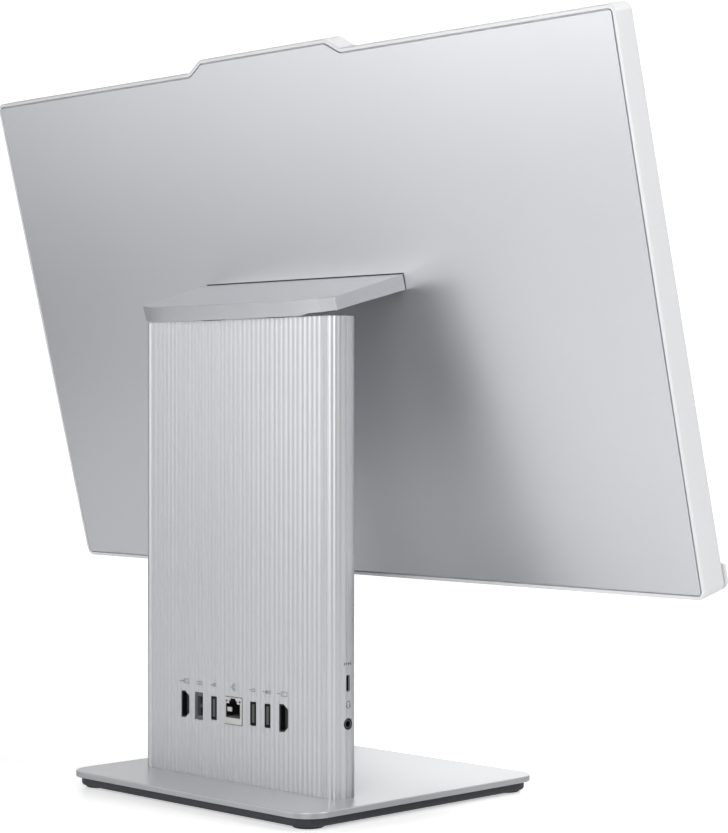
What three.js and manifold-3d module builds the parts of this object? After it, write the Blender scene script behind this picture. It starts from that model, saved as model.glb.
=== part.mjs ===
// All-in-one desktop computer: a slim display on a ribbed column that holds the computer.
// Millimetres, +Z up. The screen faces -Y, the ribbed back faces +Y, and +X is the right of someone using it.
// Origin: the point on the desk under the centre of the base.
import * as THREE from 'three';
import { mergeVertices } from 'three/addons/utils/BufferGeometryUtils.js';
import Module from 'manifold-3d';

const wasm = await Module();
wasm.setup();

// ---------------------------------------------------------------- driving dimensions
const GAP = 0.3;                     // running gap between neighbouring pieces

const BASE_W = 217.2, BASE_D = 194.4, BASE_R = 16;      // base plate outline
const FOOT_H = 1.9, TRAY_Z0 = 2.2, TRAY_Z1 = 6.5, PLATE_Z0 = 6.8, PLATE_Z1 = 10.3;
const TRAY_INSET = 3.5;
const FOOT_R = 9.5, FOOT_X = 93.0, FOOT_Y = 82.0;

const COL_W = 173.1, COL_Y0 = 34.5, COL_Y1 = 55.0, COL_R = 9.1;   // column section
const COL_Z0 = 10.6, COL_Z1 = 285.1, COL_WALL = 1.8;
const SEAM_Y0 = 41.6, SEAM_Y1 = 41.9;                   // joint between front cover and rear shell
const RIB_PITCH = 4.0, RIB_COUNT = 39, RIB_DEPTH = 0.6;

const TILT = 14.099 * Math.PI / 180;                    // display leans back at rest
const DISPLAY_Y = -10.68, DISPLAY_Z = 266.3;            // reference point on the display's back face
const DISP_HALF_W = 270.5, DISP_V0 = -142.4, DISP_V1 = 180.0;     // outer outline
const BUMP_RISE = 6.9, BUMP_BASE = 67.7, BUMP_TOP = 56.0;         // camera bump
const RIM = 1.8, GROOVE = 0.8, BACK_T = 1.6;
const FRONT_W = 15.8, FRONT_SLOPE = 0.7645 * Math.PI / 180;       // depth at the top edge; the display is a slight wedge
const CHIN_V = -127.2, CHIN_W = 22.7;                   // chin bar: upper edge and front depth
const ACTIVE_W = 527.0, ACTIVE_H = 296.5, BEZEL_TOP = 7.0;        // lit screen area

const PIVOT_V = 26.24, PIVOT_W = 50.3;                  // tilt axis, in display coordinates
const PIVOT_Y = DISPLAY_Y + PIVOT_V * Math.sin(TILT) + PIVOT_W * Math.cos(TILT);
const PIVOT_Z = DISPLAY_Z + PIVOT_V * Math.cos(TILT) - PIVOT_W * Math.sin(TILT);
const PIN_R = 2.4, BARREL_R = 5.0;
const CAP_TOP = 46.0, CAP_T = 9.4, CAP_SLOPE = 1.5 * Math.PI / 180; // hinge cap, measured from the back face

const PORT_Z = 52.5, BOARD_Y0 = 40.2, BOARD_Y1 = 41.8, MOUTH_Y = 54.3;

// ---------------------------------------------------------------- helpers
const V2 = (x, y) => new THREE.Vector2(x, y);

function roundRect(x0, x1, y0, y1, r) {
  const rr = Array.isArray(r) ? r : [r, r, r, r];       // corner radii: low-left, low-right, high-right, high-left
  const s = new THREE.Shape();
  s.moveTo(x0 + rr[0], y0);
  s.lineTo(x1 - rr[1], y0);
  if (rr[1]) s.absarc(x1 - rr[1], y0 + rr[1], rr[1], -Math.PI / 2, 0);
  s.lineTo(x1, y1 - rr[2]);
  if (rr[2]) s.absarc(x1 - rr[2], y1 - rr[2], rr[2], 0, Math.PI / 2);
  s.lineTo(x0 + rr[3], y1);
  if (rr[3]) s.absarc(x0 + rr[3], y1 - rr[3], rr[3], Math.PI / 2, Math.PI);
  s.lineTo(x0, y0 + rr[0]);
  if (rr[0]) s.absarc(x0 + rr[0], y0 + rr[0], rr[0], Math.PI, 1.5 * Math.PI);
  return s;
}
const poly = pts => new THREE.Shape(pts.map(p => V2(p[0], p[1])));

function tidy(shape, seg) {                            // the outline as points, with none repeated
  const pts = [];
  for (const p of shape.getPoints(seg)) if (!pts.length || p.distanceTo(pts[pts.length - 1]) > 1e-3) pts.push(p);
  while (pts.length > 3 && pts[0].distanceTo(pts[pts.length - 1]) < 1e-3) pts.pop();
  return new THREE.Shape(pts);
}
function alongZ(shape, z0, z1, seg = 6) {
  const g = new THREE.ExtrudeGeometry(tidy(shape, seg), { depth: z1 - z0, bevelEnabled: false, curveSegments: seg });
  g.translate(0, 0, z0);
  return g;
}
function alongY(shape, y0, y1, seg = 6) {               // shape drawn in x and z
  const g = new THREE.ExtrudeGeometry(tidy(shape, seg), { depth: y1 - y0, bevelEnabled: false, curveSegments: seg });
  g.rotateX(Math.PI / 2);
  g.translate(0, y1, 0);
  return g;
}
function alongX(shape, x0, x1, seg = 6) {               // shape drawn in y and z
  const g = new THREE.ExtrudeGeometry(tidy(shape, seg), { depth: x1 - x0, bevelEnabled: false, curveSegments: seg });
  g.rotateY(Math.PI / 2);
  g.rotateX(Math.PI / 2);
  g.translate(x0, 0, 0);
  return g;
}
function box(x0, x1, y0, y1, z0, z1) {
  const g = new THREE.BoxGeometry(x1 - x0, y1 - y0, z1 - z0);
  g.translate((x0 + x1) / 2, (y0 + y1) / 2, (z0 + z1) / 2);
  return g;
}
function cyl(axis, r, a0, a1, p, q, seg = 24) {         // p and q: the two other coordinates, in x, y, z order
  const g = new THREE.CylinderGeometry(r, r, a1 - a0, seg);
  const m = (a0 + a1) / 2;
  if (axis === 'x') { g.rotateZ(-Math.PI / 2); g.translate(m, p, q); }
  if (axis === 'y') { g.translate(p, m, q); }
  if (axis === 'z') { g.rotateX(Math.PI / 2); g.translate(p, q, m); }
  return g;
}
function solid(geo) {
  let g = geo.clone();
  for (const k of Object.keys(g.attributes)) if (k !== 'position') g.deleteAttribute(k);
  g = mergeVertices(g, 1e-4);
  const idx = g.index.array, tri = [];
  for (let i = 0; i < idx.length; i += 3) {
    if (idx[i] !== idx[i + 1] && idx[i + 1] !== idx[i + 2] && idx[i] !== idx[i + 2]) tri.push(idx[i], idx[i + 1], idx[i + 2]);
  }
  return new wasm.Manifold(new wasm.Mesh({ numProp: 3, vertProperties: new Float32Array(g.attributes.position.array), triVerts: new Uint32Array(tri) }));
}
const join = (...g) => g.map(x => x instanceof THREE.BufferGeometry ? solid(x) : x).reduce((a, b) => a.add(b));
function cut(body, ...tools) {
  let m = body instanceof THREE.BufferGeometry ? solid(body) : body;
  for (const t of tools) m = m.subtract(t instanceof THREE.BufferGeometry ? solid(t) : t);
  return m;
}
function geo(m) {
  if (m instanceof THREE.BufferGeometry) return m;
  const mesh = m.getMesh();
  const g = new THREE.BufferGeometry();
  const p = new Float32Array(mesh.numVert * 3);
  for (let i = 0; i < mesh.numVert; i++) for (let k = 0; k < 3; k++) p[3 * i + k] = mesh.vertProperties[i * mesh.numProp + k];
  g.setAttribute('position', new THREE.BufferAttribute(p, 3));
  g.setIndex(new THREE.BufferAttribute(new Uint32Array(mesh.triVerts), 1));
  g.computeVertexNormals();
  return g;
}
const material = (color, roughness, metalness) => () => new THREE.MeshStandardMaterial({ color, roughness, metalness });
const silver = material(0xc4c6ca, 0.42, 0.25);
const silverLight = material(0xdcdde0, 0.45, 0.1);
const plateGrey = material(0xcfd0d4, 0.4, 0.35);
const charcoal = material(0x3d3f45, 0.6, 0);
const rubber = material(0x2b2c30, 0.85, 0);
const steel = material(0x9a9ca0, 0.35, 0.9);
const blackPlastic = material(0x17181a, 0.5, 0);
const glassBlack = material(0x0c0d10, 0.12, 0);
const pcb = material(0x1f4a33, 0.55, 0.05);
const copper = material(0xb0703f, 0.3, 0.9);
const alu = material(0xb9bbbf, 0.35, 0.85);

function add(group, name, g, mat, pos) {
  const mesh = new THREE.Mesh(geo(g), mat());
  mesh.name = name;
  if (pos) mesh.position.set(...pos);
  group.add(mesh);
  return mesh;
}

const computer = new THREE.Group();
const stand = new THREE.Group();
computer.add(stand);

// ---------------------------------------------------------------- base
const bw = BASE_W / 2, bd = BASE_D / 2;
const baseScrews = [[-28, 44], [28, 44]];
add(stand, 'base_plate', cut(alongZ(roundRect(-bw, bw, -bd, bd, BASE_R), PLATE_Z0, PLATE_Z1, 8),
  ...baseScrews.map(([x, y]) => cyl('z', 2.4, PLATE_Z0 - 1, PLATE_Z1 + 1, x, y, 16))), plateGrey);

const tx = bw - TRAY_INSET, ty = bd - TRAY_INSET, tc = 2.6;          // lower edge is chamfered
const trayTop = roundRect(-tx, tx, -ty, ty, BASE_R - TRAY_INSET);
const trayBody = join(alongZ(trayTop, TRAY_Z0 + tc - 0.6, TRAY_Z1, 6),
  alongZ(roundRect(-tx + 1.1, tx - 1.1, -ty + 1.1, ty - 1.1, BASE_R - TRAY_INSET - 1.1), TRAY_Z0 + 0.7, TRAY_Z0 + tc, 6),
  alongZ(roundRect(-tx + tc, tx - tc, -ty + tc, ty - tc, BASE_R - TRAY_INSET - tc), TRAY_Z0, TRAY_Z0 + tc, 6));
add(stand, 'base_tray', cut(trayBody, ...baseScrews.map(([x, y]) => cyl('z', 4.4, TRAY_Z0 - 1, TRAY_Z1 + 1, x, y, 16))), charcoal);

for (const [name, sx, sy] of [['foot_front_left', -1, -1], ['foot_front_right', 1, -1], ['foot_rear_left', -1, 1], ['foot_rear_right', 1, 1]]) {
  const prof = [V2(0, 0), V2(FOOT_R - 1.2, 0), V2(FOOT_R - 0.3, 0.5), V2(FOOT_R, 1.2), V2(FOOT_R, FOOT_H), V2(0, FOOT_H)];
  const g = new THREE.LatheGeometry(prof, 24);
  g.rotateX(Math.PI / 2);
  add(stand, name, g, rubber, [sx * FOOT_X, sy * FOOT_Y, 0]);
}

// two screws come up through the plate into the spine's foot flange
baseScrews.forEach(([x, y], i) => add(stand, 'base_screw_' + (i + 1), join(cyl('z', 3.9, 0, 3.0, 0, 0, 16), cyl('z', 2.0, 2.8, 9.0, 0, 0, 12)), steel, [x, y, 3.4]));

// ---------------------------------------------------------------- column shells
const cw = COL_W / 2;
function columnOutline(inset, ribs) {                   // the whole section, walked anticlockwise, with its corner arcs
  const r = COL_R - inset, cyb = COL_Y1 - COL_R, cyf = COL_Y0 + COL_R, pts = [];
  const arc = (cx, cy, a0, a1, n) => { for (let i = 0; i <= n; i++) { const a = a0 + (a1 - a0) * i / n; pts.push([cx + r * Math.cos(a), cy + r * Math.sin(a)]); } };
  arc(-cw + COL_R, cyf, Math.PI, 1.5 * Math.PI, 6);
  arc(cw - COL_R, cyf, 1.5 * Math.PI, 2 * Math.PI, 6);
  arc(cw - COL_R, cyb, 0, Math.PI / 2, 6);
  if (ribs) {
    for (let i = 0; i < RIB_COUNT - 1; i++) {
      const xv = (RIB_COUNT - 2) / 2 * RIB_PITCH - i * RIB_PITCH;        // centre of the valley between two ribs
      pts.push([xv + 1.2, COL_Y1], [xv + 0.6, COL_Y1 - RIB_DEPTH], [xv - 0.6, COL_Y1 - RIB_DEPTH], [xv - 1.2, COL_Y1]);
    }
  }
  arc(-cw + COL_R, cyb, Math.PI / 2, Math.PI, 6);
  return poly(pts);
}
const ports = [
  { name: 'hdmi_in_port', x: 45.6, w: 6.4, h: 15.8, kind: 'hdmi' },
  { name: 'dc_in_port', x: 32.0, w: 7.2, h: 16.2, kind: 'dc' },
  { name: 'usb_a_port_1', x: 18.7, w: 5.7, h: 13.9, kind: 'usb' },
  { name: 'ethernet_port', x: 1.1, w: 15.8, h: 16.4, kind: 'lan' },
  { name: 'usb_a_port_2', x: -16.5, w: 5.7, h: 13.9, kind: 'usb' },
  { name: 'usb_a_port_3', x: -29.1, w: 5.7, h: 13.9, kind: 'usb' },
  { name: 'hdmi_out_port', x: -42.6, w: 6.4, h: 15.8, kind: 'hdmi' },
];
const USBC = { y: 44.6, z: 75.3, w: 3.3, h: 9.9 }, JACK = { y: 45.8, z: 51.8, r: 3.0 };
const portCuts = ports.map(p => box(p.x - p.w / 2 - GAP, p.x + p.w / 2 + GAP, COL_Y1 - 4, COL_Y1 + 1, PORT_Z - p.h / 2 - GAP, PORT_Z + p.h / 2 + GAP));
const sideCuts = [
  alongX(roundRect(USBC.y - USBC.w / 2 - 0.25, USBC.y + USBC.w / 2 + 0.25, USBC.z - USBC.h / 2 - 0.25, USBC.z + USBC.h / 2 + 0.25, 1.8), -cw - 1, -cw + 5, 4),
  cyl('x', JACK.r + 0.2, -cw - 1, -cw + 5, JACK.y, JACK.z, 24),
];
const inner = alongZ(columnOutline(COL_WALL + 0.6, false), COL_Z0 - 1, COL_Z1 + 1);
const rearSide = box(-200, 200, SEAM_Y1, 100, 0, 400), frontSide = box(-200, 200, 0, SEAM_Y0, 0, 400);
add(stand, 'column_rear_shell', cut(solid(alongZ(columnOutline(0, true), COL_Z0, COL_Z1)).intersect(solid(rearSide)), inner, ...portCuts, ...sideCuts), silver);

const frontInner = alongZ(columnOutline(COL_WALL, false), COL_Z0 - 1, COL_Z1 + 1);
const ventCuts = [];
for (const sx of [-1, 1]) for (const zc of [84, 224]) for (let i = 0; i < 5; i++) {
  const x = sx * (48 + i * 6.5);
  ventCuts.push(alongY(roundRect(x - 1.5, x + 1.5, zc - 22, zc + 22, 1.5), COL_Y0 - 1, COL_Y0 + 4, 3));
}
add(stand, 'column_front_cover', cut(solid(alongZ(columnOutline(0, false), COL_Z0, COL_Z1)).intersect(solid(frontSide)), frontInner, ...ventCuts), silver);

// top cover, with the slot for the hinge and outlet slots either side
const topSlots = [];
for (const sx of [-1, 1]) for (let i = 0; i < 5; i++) topSlots.push(box(sx * (52 + i * 6) - 1.5, sx * (52 + i * 6) + 1.5, 39.5, 49.5, 280, 290));
const topOuter = alongZ(columnOutline(COL_WALL + 0.9, false), COL_Z1 - 2.1, COL_Z1 - 0.5);
add(stand, 'column_top_cover', cut(topOuter, box(-43, 43, 37.6, 51.4, 280, 290), ...topSlots), silver);

// ---------------------------------------------------------------- column structure
const screwTop = 11.0;
add(stand, 'spine_plate', cut(join(
  box(-40, 40, 36.7, 38.5, screwTop, 262),              // upright plate behind the front cover
  box(-40, 40, 36.7, 49.5, screwTop, 14.0)),            // foot flange
  ...baseScrews.map(([x, y]) => cyl('z', 2.3, screwTop - 1, 15, x, y, 16)),
  ...[-22, 22].map(x => alongY(roundRect(x - 10, x + 10, 60, 120, 4), 36, 39, 3))), steel);

// fixed half of the hinge: back plate bolted to the spine, and a middle barrel round the pin
add(stand, 'hinge_bracket', cut(join(
  box(-40, 40, 38.8, 40.8, 222, 262),
  box(-19.7, 19.7, 38.8, 41.6, 255, PIVOT_Z - 1),
  cyl('x', BARREL_R, -19.7, 19.7, PIVOT_Y, PIVOT_Z, 24),
  box(-19.7, 19.7, 40.2, PIVOT_Y, PIVOT_Z - BARREL_R, PIVOT_Z - 1)),
  cyl('x', PIN_R + 0.06, -21, 21, PIVOT_Y, PIVOT_Z, 24)), steel);
[[-32, 230], [32, 230], [-32, 254], [32, 254]].forEach(([x, z], i) => add(stand, 'hinge_screw_' + (i + 1), cyl('y', 3.4, 0, 0.8, 0, 0, 16), steel, [x, 41.1, z]));
add(stand, 'hinge_pin', cyl('x', PIN_R, -40.5, 40.5, PIVOT_Y, PIVOT_Z, 24), steel);

// ---------------------------------------------------------------- computer in the column
add(stand, 'mainboard', cut(box(-80, 80, BOARD_Y0, BOARD_Y1, 30, 176),
  ...[[-76, 34], [76, 34], [-76, 80], [76, 80], [-50, 172], [-4, 172]].map(([x, z]) => cyl('y', 1.7, 39, 43, x, z, 12))), pcb);

function hdmiProfile(xc, zc, w, h, c) {                 // flat on the +x side, chamfered on the -x side
  return poly([[xc - w / 2, zc - h / 2 + c], [xc - w / 2 + c * 0.9, zc - h / 2], [xc + w / 2, zc - h / 2], [xc + w / 2, zc + h / 2], [xc - w / 2 + c * 0.9, zc + h / 2], [xc - w / 2, zc + h / 2 - c]]);
}
for (const p of ports) {
  const y0 = BOARD_Y1 + GAP, y1 = MOUTH_Y, x0 = p.x - p.w / 2, x1 = p.x + p.w / 2, z0 = PORT_Z - p.h / 2, z1 = PORT_Z + p.h / 2;
  let m;
  if (p.kind === 'hdmi') {
    m = cut(alongY(hdmiProfile(p.x, PORT_Z, p.w, p.h, 1.8), y0, y1), alongY(hdmiProfile(p.x, PORT_Z, p.w - 1.6, p.h - 1.6, 1.5), y0 + 2, y1 + 1));
    m = m.add(solid(box(p.x - 0.2, p.x + 0.9, y0 + 1, y1 - 1.4, PORT_Z - 5.6, PORT_Z + 5.6)));
    add(stand, p.name, m, blackPlastic);
  } else if (p.kind === 'usb') {
    m = cut(box(x0, x1, y0, y1, z0, z1), box(x0 + 0.6, x1 - 0.6, y0 + 2, y1 + 1, z0 + 0.7, z1 - 0.7));
    m = m.add(solid(box(p.x + 0.2, p.x + 1.9, y0 + 1, y1 - 1.2, PORT_Z - 5.4, PORT_Z + 5.4)));
    add(stand, p.name, m, blackPlastic);
  } else if (p.kind === 'dc') {
    m = cut(box(x0, x1, y0, y1, z0, z1), alongY(roundRect(x0 + 1.2, x1 - 1.2, z0 + 2.2, z1 - 2.2, 0.8), y0 + 1.6, y1 + 1, 3));
    m = m.add(solid(cyl('y', 0.7, y0 + 1, y0 + 5.4, p.x, PORT_Z, 12)));
    add(stand, p.name, m, blackPlastic);
  } else {
    const zb = PORT_Z - 3.0;                            // plug cavity below, its latch slot above
    m = cut(box(x0, x1, y0, y1, z0, z1),
      box(p.x - 6.1, p.x + 6.1, y0 + 1.5, y1 + 1, zb, zb + 6.9), box(p.x - 2.5, p.x + 2.5, y0 + 1.5, y1 + 1, zb + 6.8, zb + 10.2));
    add(stand, p.name, m, alu);
  }
}
add(stand, 'usb_c_port', cut(
  alongX(roundRect(USBC.y - USBC.w / 2, USBC.y + USBC.w / 2, USBC.z - USBC.h / 2, USBC.z + USBC.h / 2, 1.6), -cw + 0.5, -cw + 6.2, 5),
  alongX(roundRect(USBC.y - USBC.w / 2 + 0.4, USBC.y + USBC.w / 2 - 0.4, USBC.z - USBC.h / 2 + 0.4, USBC.z + USBC.h / 2 - 0.4, 1.2), -cw - 1, -cw + 5.0, 5)).add(
  solid(box(-cw + 1.4, -cw + 5.6, USBC.y - 0.35, USBC.y + 0.35, USBC.z - 3.3, USBC.z + 3.3))), blackPlastic);
add(stand, 'audio_jack', cut(
  cyl('x', JACK.r, -cw + 0.3, -cw + 6.2, JACK.y, JACK.z, 24), cyl('x', 1.85, -cw - 1, -cw + 5.4, JACK.y, JACK.z, 20)), blackPlastic);

add(stand, 'cpu_cold_plate', join(box(-21, 21, 42.3, 43.9, 74, 116), box(-14, 14, 42.1, 43.9, 80, 110)), copper);
add(stand, 'heat_pipe', (() => {                        // flattened pipe from the cold plate up to the fins
  const o = new THREE.Shape();
  o.moveTo(-2.5, 84); o.lineTo(5.4, 84); o.lineTo(5.4, 254); o.absarc(-5.6, 254, 11, 0, Math.PI / 2);
  o.lineTo(-76, 265); o.lineTo(-76, 257.2); o.lineTo(-5.6, 257.2); o.absarc(-5.6, 254, 3.1, Math.PI / 2, 0, true);
  o.lineTo(-2.5, 84);
  return cut(alongY(o, 44.2, 47.2, 5));
})(), copper);
add(stand, 'fin_stack', (() => {
  let m = solid(box(-76, -46, 51.2, 52.0, 254, 281));
  for (let i = 0; i < 10; i++) m = m.add(solid(box(-76 + i * 3.24, -76 + i * 3.24 + 0.8, 42.6, 51.6, 254, 281)));
  return cut(m, box(-77, -45, 40, 47.5, 256.8, 265.4));
})(), alu);

// blower: scroll housing open to the front round the hub and open at the top towards the fins
const FAN_X = -40, FAN_Z = 216;
add(stand, 'fan_housing', (() => {
  const outer = alongY(roundRect(-77, -3.4, 180, 252.5, [14, 14, 4, 4]), 42.2, 52.2, 5);
  const inner = join(cyl('y', 34, 43.4, 51.0, FAN_X, FAN_Z, 40), box(-74, -46, 43.4, 51.0, FAN_Z, 260));
  return cut(outer, inner, cyl('y', 21, 40, 45, FAN_X, FAN_Z, 32)).add(solid(cyl('y', 1.5, 46, 52, FAN_X, FAN_Z, 16)));
})(), blackPlastic);
add(stand, 'fan_rotor', (() => {
  const blades = 17;
  let m = join(cyl('y', 13, 44.0, 49.8, FAN_X, FAN_Z, 32));
  m = m.add(solid(cyl('y', 31, 49.0, 49.8, FAN_X, FAN_Z, 34)));
  for (let i = 0; i < blades; i++) {
    const g = new THREE.BoxGeometry(19, 5.4, 0.9);
    g.translate(21.4, 0, 0);
    g.rotateY(0.35);
    g.rotateY(i * 2 * Math.PI / blades);
    g.translate(FAN_X, 46.9, FAN_Z);
    m = m.add(solid(g));
  }
  m = m.intersect(solid(cyl('y', 31, 43, 51, FAN_X, FAN_Z, 34)));
  return cut(m, cyl('y', 1.58, 40, 49.4, FAN_X, FAN_Z, 16), cyl('y', 2.4, 48.6, 51, FAN_X, FAN_Z, 16));
})(), blackPlastic);

for (const [name, z] of [['memory_module_1', 119], ['memory_module_2', 148]]) {
  let m = join(box(8.2, 75.8, 45.0, 46.2, z, z + 27.6), box(10, 74, 42.2, 46.9, z, z + 4.5));
  for (let i = 0; i < 4; i++) m = m.add(solid(box(12 + i * 16, 24 + i * 16, 46.1, 47.2, z + 10, z + 20)));
  add(stand, name, m, pcb);
}
add(stand, 'ssd_module', join(box(-76, -54, 44.6, 45.6, 90, 170), box(-75, -55, 42.2, 46.4, 90, 95), box(-73, -57, 45.5, 46.8, 110, 124), box(-73, -57, 45.5, 46.8, 134, 148)), pcb);
add(stand, 'wifi_card', join(box(-48, -26, 44.6, 45.6, 138, 168), box(-47, -27, 42.2, 46.4, 138, 142), box(-45, -29, 45.5, 47.0, 146, 160)), pcb);
add(stand, 'coin_cell', cyl('y', 10, 42.3, 45.5, -38, 100, 24), alu);
add(stand, 'display_cable_lower', box(60, 72, 42.4, 43.6, 182, 278), blackPlastic);

// ---------------------------------------------------------------- display
// Local axes: x as above, y away from the screen (w), z up along the panel (v); y = 0 is the back face.
const display = new THREE.Group();
display.position.set(0, DISPLAY_Y, DISPLAY_Z);
display.rotation.x = -TILT;
computer.add(display);

function panelOutline(inset, rTop, rBot, bumpInset = inset) {
  const x = DISP_HALF_W - inset, v0 = DISP_V0 + inset, v1 = DISP_V1 - inset, vb = DISP_V1 + BUMP_RISE - inset;
  const s = new THREE.Shape();
  s.moveTo(-x + rBot, v0);
  s.lineTo(x - rBot, v0);
  if (rBot) s.absarc(x - rBot, v0 + rBot, rBot, -Math.PI / 2, 0);
  s.lineTo(x, v1 - rTop);
  if (rTop) s.absarc(x - rTop, v1 - rTop, rTop, 0, Math.PI / 2);
  s.lineTo(BUMP_BASE - bumpInset * 0.6, v1);
  s.lineTo(BUMP_TOP - bumpInset * 0.6, vb);
  s.lineTo(-BUMP_TOP + bumpInset * 0.6, vb);
  s.lineTo(-BUMP_BASE + bumpInset * 0.6, v1);
  s.lineTo(-x + rTop, v1);
  if (rTop) s.absarc(-x + rTop, v1 - rTop, rTop, Math.PI / 2, Math.PI);
  s.lineTo(-x, v0 + rBot);
  if (rBot) s.absarc(-x + rBot, v0 + rBot, rBot, Math.PI, 1.5 * Math.PI);
  return s;
}
const frontY = v => -(FRONT_W + (DISP_V1 - v) * Math.tan(FRONT_SLOPE));
// everything in front of the sloping front plane
const frontWaste = alongX(poly([[frontY(400), 400], [-80, 400], [-80, -400], [frontY(-400), -400]]), -400, 400);

const ringOuter = alongY(panelOutline(0, 5, 5.5), -40, 0, 4);
const ringInner = alongY(panelOutline(RIM, 3.2, 3.7), -60, 10, 4);
const POWER_X = 236, POWER_Y = -12.0;                   // button on the lower edge
const powerHole = alongZ(roundRect(POWER_X - 6.3, POWER_X + 6.3, POWER_Y - 2.8, POWER_Y + 2.8, 2.6), DISP_V0 - 5, DISP_V0 + 5, 4);
add(display, 'mid_frame', cut(ringOuter, ringInner, frontWaste, powerHole), silverLight);

add(display, 'back_cover', cut(alongY(panelOutline(RIM + GROOVE, 2.5, 3.2), -BACK_T, 0, 4),
  box(-60, 60, -5, 5, 37.4, 43.2)), silver);

// chin bar across the lower edge, proud of the screen
add(display, 'chin_bar', alongY(roundRect(-DISP_HALF_W, DISP_HALF_W, DISP_V0, CHIN_V, [5.5, 5.5, 0.6, 0.6]), -CHIN_W, frontY(DISP_V0) - GAP, 4), silverLight);

// pieces that lie parallel to the screen: y = 0 is the front plane, z = 0 the upper edge
const front = new THREE.Group();
front.position.set(0, -FRONT_W, DISP_V1);
front.rotation.x = -FRONT_SLOPE;
display.add(front);
const fx = DISP_HALF_W - RIM - GAP, zTop = -RIM - GAP, zBot = -(DISP_V1 - DISP_V0) + RIM + 0.5;
const ax = ACTIVE_W / 2, az1 = -BEZEL_TOP, az0 = -BEZEL_TOP - ACTIVE_H;
add(front, 'front_bezel', cut(alongY(roundRect(-fx, fx, zBot, zTop, 4.6), 0.02, 1.6, 4), box(-ax, ax, -1, 3, az0, az1), box(-52, 52, -1, 3, -6.2, 5)), blackPlastic);
add(front, 'lcd_panel', box(-267, 267, 1.9, 6.4, az0 - 4, az1 + 0.5), glassBlack);
add(front, 'display_chassis', cut(join(box(-262, 262, 6.7, 7.7, -302, -9), box(-262, 262, 6.7, 9.7, -302, -301), box(-262, 262, 6.7, 9.7, -10, -9)),
  ...[-170, 170].map(x => alongY(roundRect(x - 60, x + 60, -250, -70, 10), 5, 9, 4))), steel);
add(front, 'driver_board', join(box(-190, -110, 9.0, 10.2, -296, -262), box(-180, -168, 10.1, 12.6, -290, -268), box(-150, -136, 10.1, 11.6, -286, -272)), pcb);

// speakers behind the chin, firing down
for (const [name, s] of [['speaker_left', -1], ['speaker_right', 1]]) {
  const x0 = s < 0 ? -226 : 130, x1 = s < 0 ? -130 : 226;
  add(display, name, cut(box(x0, x1, -16.5, -4.0, -139.8, -128.6), box(x0 + 6, x1 - 6, -14.5, -6.0, -141, -134)), blackPlastic);
}
add(display, 'power_button', alongZ(roundRect(POWER_X - 6, POWER_X + 6, POWER_Y - 2.5, POWER_Y + 2.5, 2.4), DISP_V0 + 0.2, DISP_V0 + 5.4, 4), silverLight);
add(display, 'power_switch_board', box(POWER_X - 9, POWER_X + 9, POWER_Y - 4, POWER_Y + 4, DISP_V0 + 6.6, DISP_V0 + 8.2), pcb);

// camera in the bump at the top
add(display, 'camera_cover', cut(alongY(poly([[-50, 173.4], [50, 173.4], [50, 180.6], [45, 186.2], [-45, 186.2], [-50, 180.6]]), -17.6, -16.5),
  cyl('y', 3.6, -19, -15, 0, 180.0, 24), box(14, 31, -19, -15, 178.6, 181.6)), blackPlastic);
add(display, 'camera_shutter', join(box(5.6, 34, -16.2, -15.6, 176.0, 184.0), box(23.5, 29.5, -18.4, -15.9, 178.9, 181.3)), blackPlastic);
add(display, 'camera_module', join(box(-30, 30, -14.2, -10.6, 175.2, 184.4), cyl('y', 3.2, -15.2, -14.0, 0, 180.0, 24)), blackPlastic);

// ---------------------------------------------------------------- hinge, display side
add(display, 'hinge_arm', (() => {
  const plate = box(-40, 40, -5.9, PIVOT_W + 2.0, 38.7, 41.7);
  let m = join(plate, box(-52, 52, -7.4, -4.6, 8, 72));
  for (const s of [-1, 1]) {
    const x0 = s < 0 ? -38 : 20.2, x1 = s < 0 ? -20.2 : 38;
    m = m.add(solid(cyl('x', BARREL_R, x0, x1, PIVOT_W, PIVOT_V, 24)));
    m = m.add(solid(box(x0, x1, PIVOT_W - 2.0, PIVOT_W + 2.0, PIVOT_V + 1, 40)));
  }
  return cut(m, cyl('x', PIN_R + 0.06, -45, 45, PIVOT_W, PIVOT_V, 24));
})(), steel);
[[-46, 56], [46, 56]].forEach(([x, z], i) => add(display, 'hinge_arm_screw_' + (i + 1), cyl('y', 3.2, 0, 2.1, 0, 0, 16), steel, [x, -4.3, z]));

// cap over the hinge: a flat sleeve that leaves the back face and slopes a little down to the rear
const capG = new THREE.Group();
capG.position.set(0, 0, CAP_TOP);
capG.rotation.x = -CAP_SLOPE;
display.add(capG);
function capShape(inset, y0, rear) {
  const p = [[-87.4 + inset, y0], [87.4 - inset, y0], [83.4 - inset, 54.0], [81.0 - inset * 0.8, rear - 3.2 - inset], [76.0 - inset * 0.6, rear - 0.8 - inset], [60, rear - inset],
    [-60, rear - inset], [-76.0 + inset * 0.6, rear - 0.8 - inset], [-81.0 + inset * 0.8, rear - 3.2 - inset], [-83.4 + inset, 54.0]];
  return poly(p);
}
const REAR = 61.5;
add(capG, 'hinge_cap', cut(alongZ(capShape(0, 0.6, REAR), -CAP_T, 0), alongZ(capShape(1.8, -6, REAR), -CAP_T - 1, -2.0)), silver);
add(capG, 'hinge_cap_lower', cut(alongZ(capShape(2.8, 2.0, REAR), -CAP_T, -CAP_T + 1.5), box(-44, 44, 41, 57, -CAP_T - 2, -CAP_T + 3)), silver);
add(display, 'display_cable_upper', box(46, 58, -3.8, 44, 39.6, 40.8), blackPlastic);

export default computer;
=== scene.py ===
import bpy, bmesh, math
from mathutils import Vector, Matrix


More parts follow.
